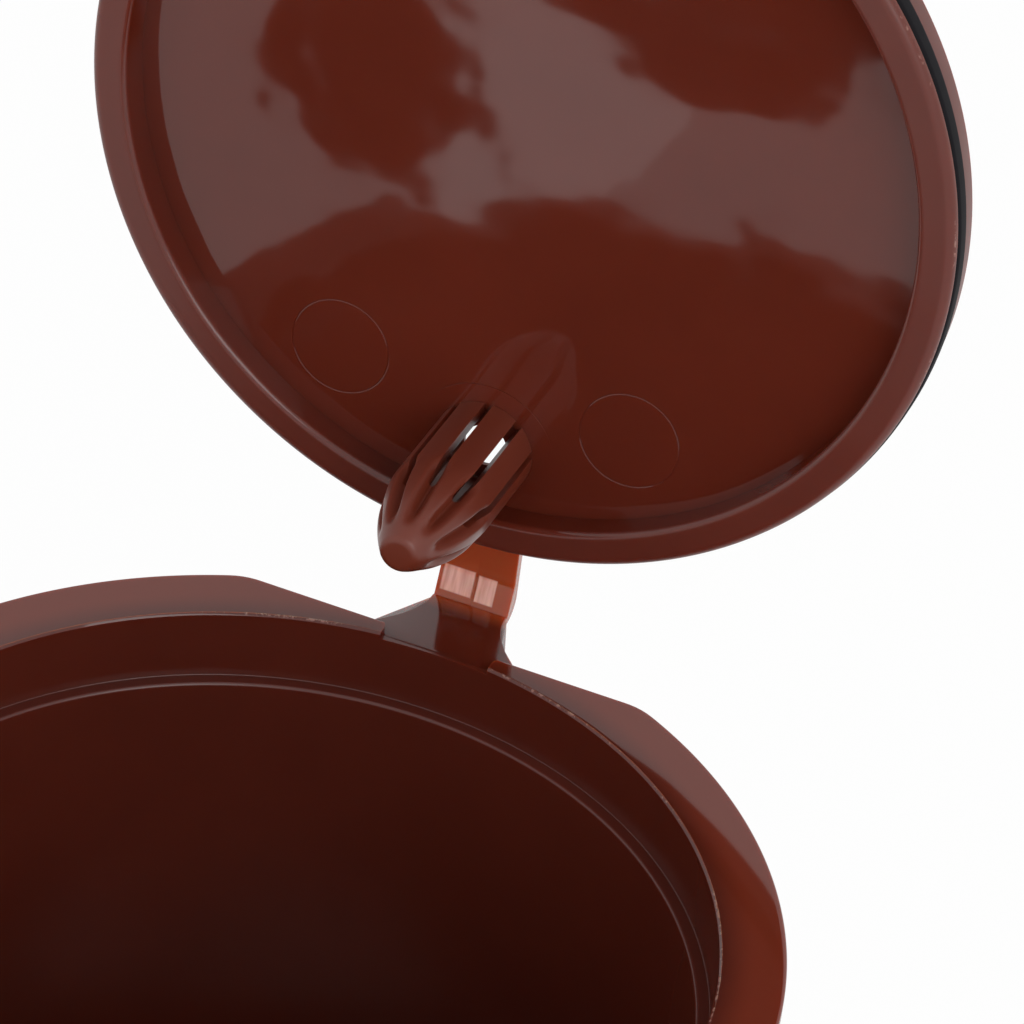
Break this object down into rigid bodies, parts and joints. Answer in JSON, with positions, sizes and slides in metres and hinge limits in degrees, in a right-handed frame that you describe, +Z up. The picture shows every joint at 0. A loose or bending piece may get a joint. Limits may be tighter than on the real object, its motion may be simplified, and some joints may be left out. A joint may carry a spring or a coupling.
{
  "type": "refillable_drinks_capsule",
  "caption": "Small brown refillable drinks capsule, its round flanged cup open and its lid tipped back on a living hinge, with a black seal ring and a slotted inlet nozzle",
  "frame": {"origin": "on the cup's axis, on the flat underside of the hub, in the plane that the cup stands on", "axes": "+Z runs up the cup's axis to the mouth, +Y points from the axis to the hinge, +X runs along the hinge line"},
  "size_m": [0.054, 0.0584, 0.0884],
  "materials": {
    "brown_plastic": "translucent dark brown polypropylene, smooth with a satin sheen",
    "black_rubber": "matt black silicone rubber",
    "steel_mesh": "fine woven stainless wire cloth"
  },
  "bodies": {
    "cup": {"capsule_cup": "brown_plastic", "filter_mesh": "steel_mesh", "filter_ring": "brown_plastic"},
    "lid": {"hinged_lid": "brown_plastic", "inlet_nozzle": "brown_plastic", "lid_seal_ring": "black_rubber"}
  },
  "joints": [
    {"name": "lid_hinge", "type": "hinge", "parent": "cup", "child": "lid", "pos_m": [0, 0.02915, 0.0357], "axis": [1, 0, 0], "range_deg": [-87.1, 92.9]}
  ]
}
